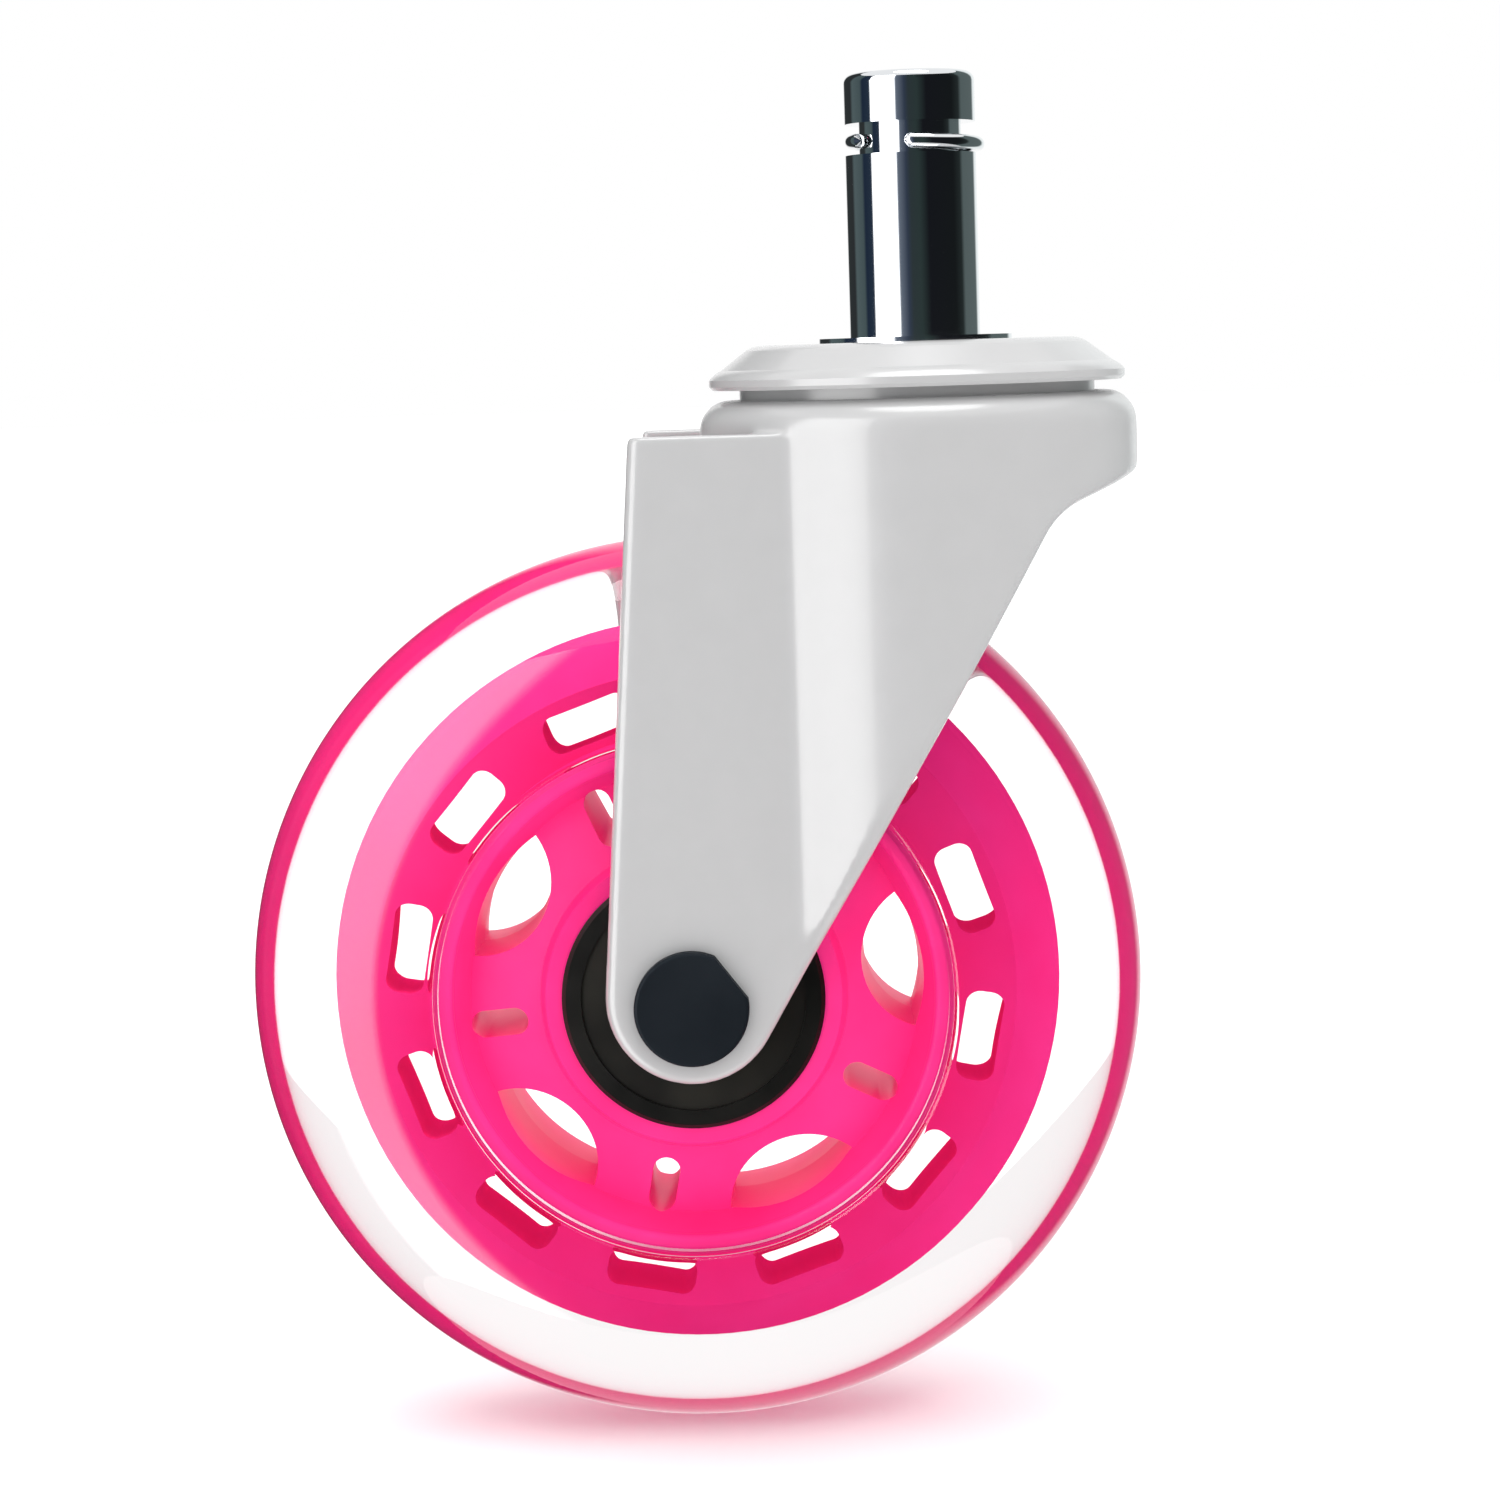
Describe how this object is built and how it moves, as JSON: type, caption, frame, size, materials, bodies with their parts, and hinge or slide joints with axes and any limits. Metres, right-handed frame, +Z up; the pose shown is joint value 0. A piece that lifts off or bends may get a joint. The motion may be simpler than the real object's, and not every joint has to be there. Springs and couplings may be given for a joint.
{
  "type": "chair caster wheel",
  "caption": "Swivel chair caster: a wheel with a clear tyre on a moulded hub, in a two-legged fork under a cover disc with a grip-ring stem.",
  "frame": {"origin": "on the stem's axis, on the top face of the stem's flange, where the chair's socket ends", "axes": "+Z up the stem; +X the direction of travel, so the wheel trails towards -X; the wheel's axle lies along Y"},
  "size_m": [0.0768, 0.037, 0.1144],
  "materials": {
    "chrome": "bright chrome plate",
    "white_paint": "satin gloss off-white paint",
    "steel": "ground bearing steel",
    "dark_steel": "dark blue-black coating, satin",
    "black_steel": "black oxide",
    "seal_rubber": "moulded, satin",
    "dark_plastic": "moulded",
    "pink_plastic": "moulded, semi-gloss",
    "clear_tyre": "clear cast polyurethane, polished"
  },
  "bodies": {
    "stem": {"stem": "chrome", "grip_ring": "chrome", "top_disc": "white_paint", "upper_race": "steel", "lower_race": "steel"},
    "upper_ball_ring": {"upper_balls": "steel", "upper_cage": "dark_plastic"},
    "lower_ball_ring": {"lower_balls": "steel"},
    "fork": {"fork": "white_paint", "upper_cup": "steel", "lower_cup": "steel", "axle_bolt": "dark_steel", "axle_nut": "dark_steel", "axle_sleeve": "steel", "left_spacer": "steel", "right_spacer": "steel", "bearing_spacer": "steel", "left_inner_ring": "steel", "right_inner_ring": "steel"},
    "wheel": {"hub": "pink_plastic", "tyre": "clear_tyre", "left_outer_ring": "black_steel", "right_outer_ring": "black_steel", "left_outer_seal": "seal_rubber", "left_inner_seal": "seal_rubber", "right_outer_seal": "seal_rubber", "right_inner_seal": "seal_rubber"},
    "left_ball_set": {"left_balls": "steel", "left_cage": "dark_plastic"},
    "right_ball_set": {"right_balls": "steel", "right_cage": "dark_plastic"}
  },
  "joints": [
    {"name": "swivel", "type": "hinge", "parent": "stem", "child": "fork", "pos_m": [0, 0, 0], "axis": [0, 0, 1], "continuous": true},
    {"name": "wheel_spin", "type": "hinge", "parent": "fork", "child": "wheel", "pos_m": [-0.0202, 0, -0.0543], "axis": [0, 1, 0], "continuous": true},
    {"name": "upper_ball_roll", "type": "hinge", "parent": "stem", "child": "upper_ball_ring", "pos_m": [0, 0, 0], "axis": [0, 0, 1], "continuous": true},
    {"name": "lower_ball_roll", "type": "hinge", "parent": "stem", "child": "lower_ball_ring", "pos_m": [0, 0, 0], "axis": [0, 0, 1], "continuous": true},
    {"name": "left_ball_roll", "type": "hinge", "parent": "fork", "child": "left_ball_set", "pos_m": [-0.0202, 0, -0.0543], "axis": [0, 1, 0], "continuous": true},
    {"name": "right_ball_roll", "type": "hinge", "parent": "fork", "child": "right_ball_set", "pos_m": [-0.0202, 0, -0.0543], "axis": [0, 1, 0], "continuous": true}
  ],
  "couplings": [
    {"joint": "upper_ball_roll", "follows": "swivel", "ratio": 0.5},
    {"joint": "lower_ball_roll", "follows": "swivel", "ratio": 0.5},
    {"joint": "left_ball_roll", "follows": "wheel_spin", "ratio": 0.6277},
    {"joint": "right_ball_roll", "follows": "wheel_spin", "ratio": 0.6277}
  ]
}
